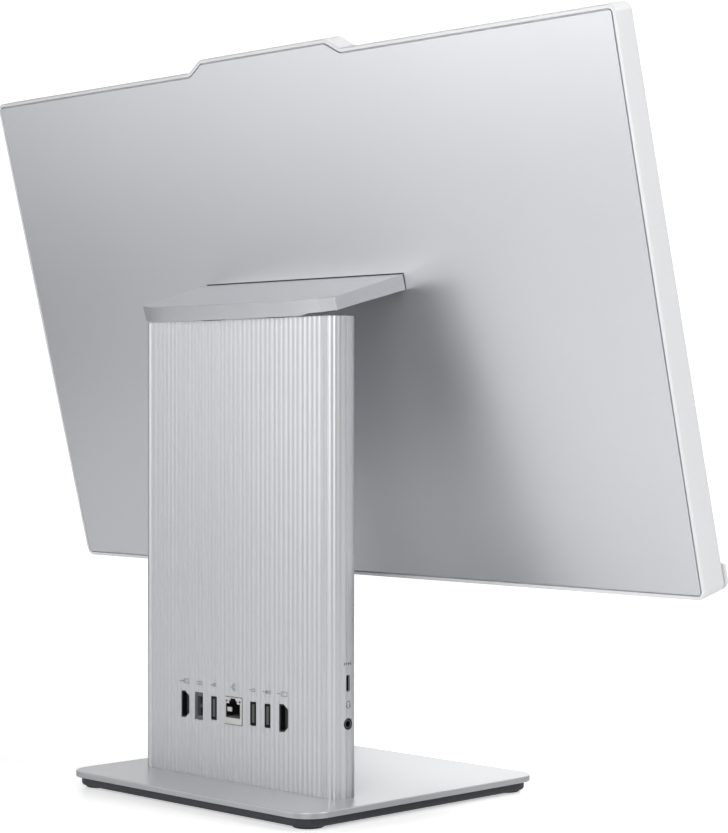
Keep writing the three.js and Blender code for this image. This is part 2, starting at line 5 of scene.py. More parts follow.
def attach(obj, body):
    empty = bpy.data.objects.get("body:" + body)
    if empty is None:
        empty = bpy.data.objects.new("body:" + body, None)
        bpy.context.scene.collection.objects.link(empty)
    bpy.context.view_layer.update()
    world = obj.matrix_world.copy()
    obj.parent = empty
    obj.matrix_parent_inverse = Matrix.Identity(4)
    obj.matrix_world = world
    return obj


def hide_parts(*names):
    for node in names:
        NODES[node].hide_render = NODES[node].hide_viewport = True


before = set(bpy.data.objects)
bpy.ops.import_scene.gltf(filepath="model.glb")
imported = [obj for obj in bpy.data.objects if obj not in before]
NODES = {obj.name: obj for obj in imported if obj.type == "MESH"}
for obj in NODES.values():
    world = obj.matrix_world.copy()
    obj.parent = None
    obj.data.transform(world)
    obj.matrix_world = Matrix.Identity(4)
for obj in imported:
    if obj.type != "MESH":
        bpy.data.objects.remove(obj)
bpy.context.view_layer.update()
MM = 0.001

# ------------------------------------------------------------------ dimensions (mm), as in the design
TILT = math.radians(14.099)
DY, DZ = -10.68, 266.3
HW, V0, V1 = 270.5, -142.4, 180.0
BUMP, BUMP_BASE, BUMP_TOP = 6.9, 67.7, 56.0
FRONT_W, SLOPE = 15.8, math.tan(math.radians(0.7645))
CW, CY0, CY1, CR = 86.55, 34.5, 55.0, 9.1
CZ0, CZ1 = 10.33, 285.1
PORT_Z = 52.5

ST, CT = math.sin(TILT), math.cos(TILT)
# display coordinates (x, w, v) to the row frame
DISP = Matrix(((1, 0, 0, 0), (0, CT, ST, DY), (0, -ST, CT, DZ), (0, 0, 0, 1)))
wfront = lambda v: -(FRONT_W + (V1 - v) * SLOPE)

# ------------------------------------------------------------------ camera
cam_data = bpy.data.cameras.new("camera")
cam = bpy.data.objects.new("camera", cam_data)
bpy.context.scene.collection.objects.link(cam)
cam.location = (-0.98951, 0.92600, 0.23237)
cam.rotation_euler = (math.radians(90), 0, math.radians(180 + 45.28))
cam_data.lens = 2215.78 / 833 * 36
cam_data.shift_x = -0.0003
cam_data.shift_y = -0.0098
cam_data.clip_start = 0.01
bpy.context.scene.camera = cam


# ------------------------------------------------------------------ materials
def new_mat(name):
    m = bpy.data.materials.new(name)
    m.use_nodes = True
    nt = m.node_tree
    bsdf = nt.nodes["Principled BSDF"]
    return m, nt, bsdf


def satin(name, color, rough=0.42, metallic=0.0, tone=0.02, tone_scale=9.0, grain=2600.0, bump=0.12, rough_var=0.05,
          coat=0.0, coat_rough=0.2, spec=0.5, edge_lighten=0.0, stretch=(1, 1, 1)):
    """A moulded or painted surface: slow tone variation, fine grain in bump and roughness, and a lighter colour on
    convex edges.
    """
    m, nt, b = new_mat(name)
    L = nt.links.new
    tc = nt.nodes.new("ShaderNodeTexCoord")
    mp = nt.nodes.new("ShaderNodeMapping")
    mp.inputs["Scale"].default_value = stretch
    L(tc.outputs["Object"], mp.inputs["Vector"])
    slow = nt.nodes.new("ShaderNodeTexNoise")
    slow.inputs["Scale"].default_value = tone_scale
    slow.inputs["Detail"].default_value = 3
    L(mp.outputs["Vector"], slow.inputs["Vector"])
    fine = nt.nodes.new("ShaderNodeTexNoise")
    fine.inputs["Scale"].default_value = grain
    fine.inputs["Detail"].default_value = 2
    L(mp.outputs["Vector"], fine.inputs["Vector"])
    ramp = nt.nodes.new("ShaderNodeMapRange")
    ramp.inputs["From Min"].default_value = 0.3
    ramp.inputs["From Max"].default_value = 0.7
    ramp.inputs["To Min"].default_value = 1 - tone
    ramp.inputs["To Max"].default_value = 1 + tone
    L(slow.outputs["Fac"], ramp.inputs["Value"])
    fr = nt.nodes.new("ShaderNodeMapRange")
    fr.inputs["From Min"].default_value = 0.25
    fr.inputs["From Max"].default_value = 0.75
    fr.inputs["To Min"].default_value = 1 - tone * 1.2
    fr.inputs["To Max"].default_value = 1 + tone * 1.2
    L(fine.outputs["Fac"], fr.inputs["Value"])
    mul = nt.nodes.new("ShaderNodeMath")
    mul.operation = "MULTIPLY"
    L(ramp.outputs["Result"], mul.inputs[0])
    L(fr.outputs["Result"], mul.inputs[1])
    col = nt.nodes.new("ShaderNodeVectorMath")
    col.operation = "SCALE"
    col.inputs[0].default_value = color[:3]
    L(mul.outputs[0], col.inputs["Scale"])
    out = col.outputs["Vector"]
    # lighter colour on convex edges, from pointiness
    if edge_lighten > 0:
        geo = nt.nodes.new("ShaderNodeNewGeometry")
        wr = nt.nodes.new("ShaderNodeMapRange")
        wr.inputs["From Min"].default_value = 0.52
        wr.inputs["From Max"].default_value = 0.62
        wr.inputs["To Max"].default_value = edge_lighten
        L(geo.outputs["Pointiness"], wr.inputs["Value"])
        mix = nt.nodes.new("ShaderNodeMix")
        mix.data_type = "RGBA"
        mix.inputs["B"].default_value = (min(1, color[0] * 1.25), min(1, color[1] * 1.25), min(1, color[2] * 1.25), 1)
        L(wr.outputs["Result"], mix.inputs["Factor"])
        L(out, mix.inputs["A"])
        out = mix.outputs["Result"]
    L(out, b.inputs["Base Color"])
    rr = nt.nodes.new("ShaderNodeMapRange")
    rr.inputs["From Min"].default_value = 0.3
    rr.inputs["From Max"].default_value = 0.7
    rr.inputs["To Min"].default_value = max(0.02, rough - rough_var)
    rr.inputs["To Max"].default_value = min(1, rough + rough_var)
    L(fine.outputs["Fac"], rr.inputs["Value"])
    L(rr.outputs["Result"], b.inputs["Roughness"])
    if bump > 0:
        bp = nt.nodes.new("ShaderNodeBump")
        bp.inputs["Strength"].default_value = bump
        bp.inputs["Distance"].default_value = 0.00004
        L(fine.outputs["Fac"], bp.inputs["Height"])
        L(bp.outputs["Normal"], b.inputs["Normal"])
    b.inputs["Metallic"].default_value = metallic
    b.inputs["Specular IOR Level"].default_value = spec
    if coat:
        b.inputs["Coat Weight"].default_value = coat
        b.inputs["Coat Roughness"].default_value = coat_rough
    return m


def board_mat(name):
    """Green solder mask with copper tracks showing through as straight lighter lines."""
    m, nt, b = new_mat(name)
    L = nt.links.new
    tc = nt.nodes.new("ShaderNodeTexCoord")
    br = nt.nodes.new("ShaderNodeTexBrick")
    br.inputs["Scale"].default_value = 160
    br.inputs["Mortar Size"].default_value = 0.03
    br.inputs["Color1"].default_value = (0.012, 0.07, 0.035, 1)
    br.inputs["Color2"].default_value = (0.016, 0.085, 0.045, 1)
    br.inputs["Mortar"].default_value = (0.05, 0.16, 0.08, 1)
    sw = nt.nodes.new("ShaderNodeSeparateXYZ")
    cb = nt.nodes.new("ShaderNodeCombineXYZ")
    L(tc.outputs["Object"], sw.inputs[0])
    L(sw.outputs["X"], cb.inputs["X"])
    L(sw.outputs["Z"], cb.inputs["Y"])
    L(cb.outputs[0], br.inputs["Vector"])
    L(br.outputs["Color"], b.inputs["Base Color"])
    bp = nt.nodes.new("ShaderNodeBump")
    bp.inputs["Strength"].default_value = 0.3
    bp.inputs["Distance"].default_value = 0.00005
    L(br.outputs["Fac"], bp.inputs["Height"])
    L(bp.outputs["Normal"], b.inputs["Normal"])
    b.inputs["Roughness"].default_value = 0.35
    return m


M = {
    "silver": satin("satin_silver", (0.70, 0.71, 0.735), rough=0.36, metallic=0.85, tone=0.008, grain=3000, bump=0.05, rough_var=0.03),
    "column": satin("column_silver", (0.625, 0.635, 0.66), rough=0.36, metallic=0.6, tone=0.008, grain=3000, bump=0.05, rough_var=0.03),
    "cap": satin("cap_silver", (0.66, 0.67, 0.695), rough=0.30, metallic=0.8, tone=0.006, grain=3000, bump=0.04, rough_var=0.03),
    # painted shade: the hinge cap's silver lower plate gets a near-black colour for the shade under the cap
    "cap_under_shade": satin("cap_underside_painted_shade", (0.04, 0.041, 0.044), rough=0.5, tone=0.04, grain=2200, bump=0.12),
    "rim": satin("rim_light", (0.80, 0.805, 0.82), rough=0.45, metallic=0.0, tone=0.006, grain=2400, bump=0.05),
    "plate": satin("plate_silver", (0.70, 0.71, 0.73), rough=0.34, metallic=0.5, tone=0.008, grain=2600, bump=0.06, rough_var=0.03),
    "tray": satin("tray_charcoal", (0.030, 0.032, 0.041), rough=0.5, tone=0.05, grain=1800, bump=0.2, edge_lighten=0.25),
    "rubber": satin("foot_rubber", (0.030, 0.031, 0.036), rough=0.75, tone=0.08, grain=1500, bump=0.35),
    "black": satin("black_plastic", (0.012, 0.012, 0.014), rough=0.45, tone=0.08, grain=2200, bump=0.15),
    "socket": satin("socket_black", (0.006, 0.006, 0.007), rough=0.5, tone=0.05, grain=2500, bump=0.1),
    "tongue": satin("tongue_grey", (0.06, 0.062, 0.067), rough=0.45, tone=0.05, grain=2500, bump=0.1),
    "tongue_light": satin("tongue_light_grey", (0.125, 0.128, 0.135), rough=0.45, tone=0.05, grain=2500, bump=0.1),
    "lan_dark": satin("lan_inside", (0.012, 0.012, 0.012), rough=0.5, tone=0.05, grain=2500, bump=0.1),
    "lan_floor": satin("lan_floor_grey", (0.16, 0.155, 0.145), rough=0.45, tone=0.05, grain=2500, bump=0.1),
    "dcframe": satin("dc_frame_grey", (0.115, 0.118, 0.125), rough=0.5, tone=0.05, grain=2500, bump=0.15),
    "lan": satin("lan_shell", (0.60, 0.60, 0.585), rough=0.35, metallic=0.5, tone=0.02, grain=1600, bump=0.1, stretch=(1, 1, 0.15)),
    "gold": satin("gold_contact", (0.80, 0.58, 0.24), rough=0.3, metallic=1.0, tone=0.03, grain=2600, bump=0.05),
    "steel": satin("zinc_steel", (0.56, 0.56, 0.58), rough=0.34, metallic=1.0, tone=0.03, grain=1400, bump=0.15, rough_var=0.08, stretch=(0.12, 1, 1)),
    "alu": satin("bare_aluminium", (0.74, 0.75, 0.77), rough=0.32, metallic=1.0, tone=0.02, grain=1500, bump=0.1, stretch=(1, 1, 0.12)),
    "copper": satin("bare_copper", (0.78, 0.42, 0.26), rough=0.3, metallic=1.0, tone=0.04, grain=1300, bump=0.1),
    "print": satin("printed_mark", (0.26, 0.265, 0.275), rough=0.6, tone=0.02, grain=2600, bump=0.0),
    "led": satin("led_window", (0.035, 0.036, 0.034), rough=0.3, tone=0.02, grain=2600, bump=0.0),
    "emblem": satin("emblem_bright", (0.80, 0.81, 0.83), rough=0.2, metallic=0.6, tone=0.005, grain=2600, bump=0.02),
    "screen": satin("screen_surface", (0.008, 0.008, 0.010), rough=0.22, tone=0.05, grain=5000, bump=0.08, spec=0.5),
    "lens": satin("lens_glass", (0.004, 0.004, 0.008), rough=0.04, tone=0.02, grain=2600, bump=0.0, coat=1.0, coat_rough=0.03),
    "board": board_mat("board_green"),
}
for node, key in {
    "spine_plate": "steel", "hinge_bracket": "steel", "hinge_pin": "steel", "hinge_arm": "steel", "display_chassis": "steel",
    "base_screw_1": "steel", "base_screw_2": "steel", "hinge_screw_1": "steel", "hinge_screw_2": "steel", "hinge_screw_3": "steel",
    "hinge_screw_4": "steel", "hinge_arm_screw_1": "steel", "hinge_arm_screw_2": "steel",
    "mainboard": "board", "memory_module_1": "board", "memory_module_2": "board", "ssd_module": "board", "wifi_card": "board",
    "driver_board": "board", "power_switch_board": "board", "cpu_cold_plate": "copper", "heat_pipe": "copper", "fin_stack": "alu",
    "coin_cell": "alu", "fan_housing": "black", "fan_rotor": "black", "display_cable_lower": "black", "display_cable_upper": "black",
    "speaker_left": "black", "speaker_right": "black", "camera_module": "black",
}.items():
    o = NODES[node]
    o.data.materials.clear()
    o.data.materials.append(M[key])


# ------------------------------------------------------------------ mesh helpers
def rpoly(corners, inset=0.0, n=8):
    """Outline with rounded corners, walked anticlockwise, moved inwards by inset. corners: (x, y, radius)."""
    N = len(corners)
    lines = []
    for i in range(N):
        a, b = Vector(corners[i][:2]), Vector(corners[(i + 1) % N][:2])
        d = (b - a).normalized()
        lines.append((a + Vector((-d.y, d.x)) * inset, d))
    pts = []
    for i in range(N):
        (p0, d0), (p1, d1) = lines[i - 1], lines[i]
        cr = d0.x * d1.y - d0.y * d1.x
        q = p1 - p0
        c = p0 + d0 * ((q.x * d1.y - q.y * d1.x) / cr)
        convex = cr > 0
        r = max(corners[i][2] - inset, 0.02) if convex else corners[i][2] + inset
        ang = math.atan2(cr, d0.dot(d1))
        s = c - d0 * abs(r * math.tan(ang / 2))
        cen = s + Vector((-d0.y, d0.x)) * (r if convex else -r)
        a0 = math.atan2(s.y - cen.y, s.x - cen.x)
        for k in range(n + 1):
            a = a0 + ang * k / n
            pts.append((cen.x + r * math.cos(a), cen.y + r * math.sin(a)))
    return pts


def box_corners(x0, x1, y0, y1, r):
    return [(x0, y0, r), (x1, y0, r), (x1, y1, r), (x0, y1, r)]


def low_edge(z, r, n=4):
    return [(r * (1 - math.sin(k / n * math.pi / 2)), z + r * (1 - math.cos(k / n * math.pi / 2))) for k in range(n + 1)]


def high_edge(z, r, n=4):
    return [(r * (1 - math.cos(k / n * math.pi / 2)), z - r * (1 - math.sin(k / n * math.pi / 2))) for k in range(n + 1)]


def mesh_object(name, verts, faces, mat, body, matrix=None, replaces=(), slot=None, sharp=32, weighted=True, bevel=0.0, bevel_n=3):
    me = bpy.data.meshes.new(name)
    me.from_pydata([tuple(v) for v in verts], [], faces)
    bm = bmesh.new()
    bm.from_mesh(me)
    bmesh.ops.remove_doubles(bm, verts=bm.verts, dist=1e-5)
    bmesh.ops.dissolve_degenerate(bm, edges=bm.edges, dist=1e-5)
    bmesh.ops.recalc_face_normals(bm, faces=bm.faces)
    mtx = Matrix.Scale(MM, 4) @ (matrix if matrix is not None else Matrix.Identity(4))
    bm.transform(mtx)
    bm.to_mesh(me)
    bm.free()
    return finish_object(name, me, mat, body, replaces, slot, sharp, weighted, bevel, bevel_n)


def finish_object(name, me, mat, body, replaces=(), slot=None, sharp=32, weighted=True, bevel=0.0, bevel_n=3):
    o = bpy.data.objects.new(name, me)
    bpy.context.scene.collection.objects.link(o)
    me.materials.clear()
    me.materials.append(mat)
    for p in me.polygons:
        p.use_smooth = True
    if bevel > 0:
        bv = o.modifiers.new("round", "BEVEL")
        bv.width = bevel * MM
        bv.segments = bevel_n
        bv.limit_method = "ANGLE"
        bv.angle_limit = math.radians(sharp)
        bv.harden_normals = False
    else:
        me.set_sharp_from_angle(angle=math.radians(sharp))
    if weighted:
        wn = o.modifiers.new("normals", "WEIGHTED_NORMAL")
        wn.keep_sharp = True
        wn.weight = 80
    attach(o, body)
    if replaces:
        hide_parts(*replaces)
    return o


def loft(rings, closed=False, cap0=True, cap1=True):
    n = len(rings[0])
    verts = [p for r in rings for p in r]
    faces = []
    m = len(rings)
    for i in range(m if closed else m - 1):
        a, b = i * n, ((i + 1) % m) * n
        for k in range(n):
            k2 = (k + 1) % n
            faces.append((a + k, a + k2, b + k2, b + k))
    if not closed:
        if cap0:
            faces.append(tuple(range(n - 1, -1, -1)))
        if cap1:
            faces.append(tuple((m - 1) * n + k for k in range(n)))
    return verts, faces


def merge(*parts):
    verts, faces = [], []
    for v, f in parts:
        s = len(verts)
        verts += list(v)
        faces += [tuple(i + s for i in q) for q in f]
    return verts, faces


def slab_z(corners, z0, z1, rb, rt, n=8, en=4):
    rings = [[(x, y, z) for x, y in rpoly(corners, i, n)] for i, z in low_edge(z0, rb, en) + high_edge(z1, rt, en)]
    return loft(rings)


def slab_y(corners, y0, y1, r0, r1, n=6, en=3):
    """Outline in x and z, thickness along y."""
    rings = [[(x, y, z) for x, z in rpoly(corners, i, n)] for i, y in low_edge(y0, r0, en) + high_edge(y1, r1, en)]
    return loft(rings)


def slab_x(corners, x0, x1, r0, r1, n=6, en=3):
    """Outline in y and z, thickness along x."""
    rings = [[(x, y, z) for y, z in rpoly(corners, i, n)] for i, x in low_edge(x0, r0, en) + high_edge(x1, r1, en)]
    return loft(rings)


def lathe(profile, seg=48, axis="z", at=(0, 0, 0)):
    """Closed of revolution; profile is (radius, height) from axis to axis."""
    verts, faces, idx = [], [], []
    for r, h in profile:
        if r < 1e-6:
            idx.append([len(verts)])
            verts.append((0, 0, h))
        else:
            idx.append(list(range(len(verts), len(verts) + seg)))
            verts += [(r * math.cos(2 * math.pi * k / seg), r * math.sin(2 * math.pi * k / seg), h) for k in range(seg)]
    for a, b in zip(idx[:-1], idx[1:]):
        for k in range(seg):
            k2 = (k + 1) % seg
            if len(a) == 1 and len(b) == 1:
                continue
            if len(a) == 1:
                faces.append((a[0], b[k], b[k2]))
            elif len(b) == 1:
                faces.append((a[k], a[k2], b[0]))
            else:
                faces.append((a[k], a[k2], b[k2], b[k]))
    out = []
    for x, y, z in verts:
        if axis == "y":
            x, y, z = x, z, -y + 0.0
        if axis == "x":
            x, y, z = z, x, y
        out.append((x + at[0], y + at[1], z + at[2]))
    return out, faces


def cutter(parts):
    me = bpy.data.meshes.new("cut")
    v, f = merge(*parts)
    me.from_pydata([tuple(p) for p in v], [], f)
    bm = bmesh.new()
    bm.from_mesh(me)
    bmesh.ops.recalc_face_normals(bm, faces=bm.faces)
    bm.transform(Matrix.Scale(MM, 4))
    bm.to_mesh(me)
    bm.free()
    o = bpy.data.objects.new("cut", me)
    bpy.context.scene.collection.objects.link(o)
    return o


def carve(name, solid, cuts, mat, body, matrix=None, **kw):
    """solid minus cuts, both lists of (verts, faces); the result is one plain mesh."""
    base, tool = cutter([solid]), cutter(cuts)
    md = base.modifiers.new("cut", "BOOLEAN")
    md.operation = "DIFFERENCE"
    md.solver = "EXACT"
    md.object = tool
    bpy.context.view_layer.update()
    dg = bpy.context.evaluated_depsgraph_get()
    me = bpy.data.meshes.new_from_object(base.evaluated_get(dg))
    me.name = name
    bpy.data.objects.remove(base)
    bpy.data.objects.remove(tool)
    if matrix is not None:
        s = Matrix.Scale(MM, 4)
        me.transform(s @ matrix @ s.inverted())
    return finish_object(name, me, mat, body, **kw)


# ------------------------------------------------------------------ base
def painted_side_shade(mat, z0, z1, shade):
    """Painted shade: darkens the colour below z0, in metres, up to nothing at z1."""
    nt = mat.node_tree
    b = nt.nodes["Principled BSDF"]
    src = b.inputs["Base Color"].links[0].from_socket
    tc = nt.nodes.new("ShaderNodeTexCoord")
    sp = nt.nodes.new("ShaderNodeSeparateXYZ")
    mr = nt.nodes.new("ShaderNodeMapRange")
    mr.inputs["From Min"].default_value = z0
    mr.inputs["From Max"].default_value = z1
    mr.inputs["To Min"].default_value = shade
    mr.inputs["To Max"].default_value = 1.0
    sc = nt.nodes.new("ShaderNodeVectorMath")
    sc.operation = "SCALE"
    nt.links.new(tc.outputs["Object"], sp.inputs[0])
    nt.links.new(sp.outputs["Z"], mr.inputs["Value"])
    nt.links.new(src, sc.inputs[0])
    nt.links.new(mr.outputs["Result"], sc.inputs["Scale"])
    nt.links.new(sc.outputs["Vector"], b.inputs["Base Color"])


# painted shade: the base plate's side edge is darker in its colour than its top face
painted_side_shade(M["plate"], 0.0096, 0.0101, 0.62)
plate = slab_z(box_corners(-108.6, 108.6, -97.2, 97.2, 16), 6.8, 10.3, 0.35, 0.55, n=14)
mesh_object("base_plate_finished", *plate, M["plate"], "stand", replaces=["base_plate"], slot="base_metal")
tray = slab_z(box_corners(-105.1, 105.1, -93.7, 93.7, 12.5), 1.35, 6.6, 2.0, 0.2, n=12, en=6)
mesh_object("base_tray_finished", *tray, M["tray"], "stand", replaces=["base_tray"], slot="charcoal_plastic")
for name, sx, sy in (("front_left", -1, -1), ("front_right", 1, -1), ("rear_left", -1, 1), ("rear_right", 1, 1)):
    prof = [(0, 0.0), (7.6, 0.0), (8.4, 0.12), (8.9, 0.45), (9.15, 0.95), (9.3, 1.4), (9.9, 1.8), (10.6, 2.0), (0, 2.0)]
    foot = lathe(prof, 56, "z", (sx * 93.0, sy * 82.0, 0))
    mesh_object("foot_" + name + "_finished", *foot, M["rubber"], "stand", replaces=["foot_" + name], slot="rubber", sharp=60)


# ------------------------------------------------------------------ column
RIB_PITCH, RIB_N, RIB_D = 4.0, 39, 1.0


def arc(cx, cy, r, a0, a1, n):
    return [(cx + r * math.cos(a0 + (a1 - a0) * k / n), cy + r * math.sin(a0 + (a1 - a0) * k / n)) for k in range(n + 1)]


def rib_dip(t):
    """Depth of the ribbing at a distance t along the section from its middle; it fades out round the corners."""
    fade = 1.0 if t < 76 else 1 - 0.155 * (t - 76) if t < 80 else max(0.0, 0.38 * (90.5 - t) / 10.5)
    return RIB_D * fade * 0.5 * (1 + math.cos(2 * math.pi * (78 - t) / RIB_PITCH))


def rear_outline(seam_y, wall):
    """Section of the rear shell: outer line with its ribs, corner and side groove, then the inner line back."""
    cyb, r = CY1 - CR, CR
    flat = CW - r
    half = []
    n = 194
    for k in range(n + 1):
        t = flat * k / n
        half.append((t, CY1 - rib_dip(t)))
    for k in range(1, 41):
        a = math.pi / 2 * k / 40
        rr = r - rib_dip(flat + r * a)
        half.append((flat + rr * math.sin(a), cyb + rr * math.cos(a)))
    half += [(CW - 0.03, 45.82), (CW - 0.13, 45.72), (CW - 0.34, 45.68), (CW - 0.36, 45.42), (CW - 0.13, 45.36), (CW - 0.03, 45.28), (CW, 45.12),
             (CW, 42.05), (CW - 0.03, 41.9), (CW - 0.1, 41.8), (CW - 0.25, seam_y)]
    out = half[::-1] + [(-x, y) for x, y in half[1:]]
    ri = r - wall
    inn = [(-CW + wall, seam_y), (-CW + wall, cyb)] + arc(-CW + r, cyb, ri, math.pi, math.pi / 2, 8)[1:]
    inn += [(flat * (-1 + i / 10), CY1 - wall) for i in range(1, 20)]
    inn += arc(CW - r, cyb, ri, math.pi / 2, 0, 8)[:-1] + [(CW - wall, cyb), (CW - wall, seam_y)]
    return out, inn


def inset_line(pts, d, closed=False):
    res = []
    n = len(pts)
    for i, p in enumerate(pts):
        a = Vector(pts[max(i - 1, 0)]); b = Vector(pts[min(i + 1, n - 1)])
        t = (b - a)
        t = t.normalized() if t.length > 1e-9 else Vector((1, 0))
        nrm = Vector((-t.y, t.x))
        res.append((p[0] + nrm.x * d, p[1] + nrm.y * d))
    return res


def shell_loft(out, inn, z0, z1, r=0.11):
    """Thin walled section lofted up z, with its outer edges rounded at top and bottom."""
    rings = []
    for d, z in low_edge(z0, r, 2) + [(0, 40.0), (0, 62.8), (0, 66.0), (0, 84.0)] + high_edge(z1, r, 2):
        o2 = inset_line(out, d)
        rings.append([(x, y, z) for x, y in o2] + [(x, y, z) for x, y in inn])
    return loft(rings)


PORTS = [("hdmi_in_port", 45.6, 6.4, 15.8, "hdmi"), ("dc_in_port", 32.0, 7.2, 16.2, "dc"), ("usb_a_port_1", 18.7, 5.7, 13.9, "usb"),
         ("ethernet_port", 1.1, 15.8, 16.4, "lan"), ("usb_a_port_2", -16.5, 5.7, 13.9, "usb"), ("usb_a_port_3", -29.1, 5.7, 13.9, "usb"),
         ("hdmi_out_port", -42.6, 6.4, 15.8, "hdmi")]


def hdmi_corners(x, w, h, c=2.1, d=2.8, r=0.45):
    return [(x - w / 2 + c, PORT_Z - h / 2, r), (x + w / 2, PORT_Z - h / 2, r), (x + w / 2, PORT_Z + h / 2, r), (x - w / 2 + c, PORT_Z + h / 2, r),
            (x - w / 2, PORT_Z + h / 2 - d, r), (x - w / 2, PORT_Z - h / 2 + d, r)]


def port_corners(p, grow=0.0):
    name, x, w, h, kind = p
    if kind == "hdmi":
        return hdmi_corners(x, w + 2 * grow, h + 2 * grow)
    return box_corners(x - w / 2 - grow, x + w / 2 + grow, PORT_Z - h / 2 - grow, PORT_Z + h / 2 + grow, 0.35)


def prism_y(corners, y0, y1, n=3):
    return loft([[(x, y0, z) for x, z in rpoly(corners, 0, n)], [(x, y1, z) for x, z in rpoly(corners, 0, n)]])


def prism_x(corners, x0, x1, n=3):
    return loft([[(x0, y, z) for y, z in rpoly(corners, 0, n)], [(x1, y, z) for y, z in rpoly(corners, 0, n)]])


USBC = (44.75, 75.8, 3.3, 9.9)
JACK = (44.6, 52.6)
cuts = [prism_y(port_corners(p, 0.2), CY1 - 5, CY1 + 2) for p in PORTS]
cuts.append(prism_x([(USBC[0] - 1.5, USBC[1] - 4.8, 1.4), (USBC[0] + 1.5, USBC[1] - 4.8, 1.4), (USBC[0] + 1.5, USBC[1] + 4.8, 1.4), (USBC[0] - 1.5, USBC[1] + 4.8, 1.4)], -CW - 2, -CW + 6, 5))
cuts.append(lathe([(0, -CW - 2), (3.35, -CW - 2), (3.35, -CW + 6), (0, -CW + 6)], 40, "x", (0, JACK[0], JACK[1])))
outer, inn = rear_outline(41.72, 2.4)
carve("column_rear_shell_finished", shell_loft(outer, inn, CZ0, CZ1), cuts, M["column"], "stand", replaces=["column_rear_shell"], slot="silver_paint", sharp=35, weighted=True)

# front cover, with its inlet slots
cyf = CY0 + CR
a_seam = math.asin((cyf - 41.6) / CR)
fo = arc(-CW + CR, cyf, CR, math.pi + a_seam, 1.5 * math.pi, 10) + arc(CW - CR, cyf, CR, 1.5 * math.pi, 2 * math.pi - a_seam, 10)
fi = arc(CW - CR, cyf, CR - 1.8, 2 * math.pi - math.asin(min(1, (cyf - 41.6) / (CR - 1.8))), 1.5 * math.pi, 8) + arc(-CW + CR, cyf, CR - 1.8, 1.5 * math.pi, math.pi + math.asin((cyf - 41.6) / (CR - 1.8)), 8)
vents = []
for sx in (-1, 1):
    for zc in (84, 224):
        for i in range(5):
            x = sx * (48 + i * 6.5)
            vents.append(prism_y(box_corners(x - 1.5, x + 1.5, zc - 22, zc + 22, 1.45), CY0 - 2, CY0 + 4, 5))
carve("column_front_cover_finished", shell_loft(fo, fi, CZ0, CZ1), vents, M["column"], "stand", replaces=["column_front_cover"], slot="silver_paint", sharp=35, weighted=True)

# top cover
tc_corners = [(-CW + 2.7, CY0 + 2.7, 6.4), (CW - 2.7, CY0 + 2.7, 6.4), (CW - 2.7, CY1 - 2.7, 6.4), (-CW + 2.7, CY1 - 2.7, 6.4)]
top_cuts = [loft([[(x, y, z) for x, y in rpoly(box_corners(-43, 43, 37.6, 51.4, 2), 0, 4)] for z in (280, 290)])]
for sx in (-1, 1):
    for i in range(5):
        x = sx * (52 + i * 6)
        top_cuts.append(loft([[(px, py, z) for px, py in rpoly(box_corners(x - 1.5, x + 1.5, 39.5, 49.5, 1.4), 0, 4)] for z in (280, 290)]))
carve("column_top_cover_finished", slab_z(tc_corners, 283.0, 284.6, 0.2, 0.35, n=8), top_cuts, M["column"], "stand", replaces=["column_top_cover"], slot="silver_paint", sharp=40, weighted=False)


# ------------------------------------------------------------------ ports
def tube_y(corners, y_mouth, y_back, wall, lip=0.15, n=4):
    """Rectangular or shaped socket shell, open at the mouth, closed at the back."""
    R = lambda inset, y: [(x, y, z) for x, z in rpoly(corners, inset, n)]
    rings = [R(0, y_back), R(0, y_mouth - lip), R(lip * 0.3, y_mouth - lip * 0.3), R(lip, y_mouth), R(wall - lip, y_mouth),
             R(wall - lip * 0.3, y_mouth - lip * 0.3), R(wall, y_mouth - lip), R(wall, y_back + 1.5)]
    return loft(rings)


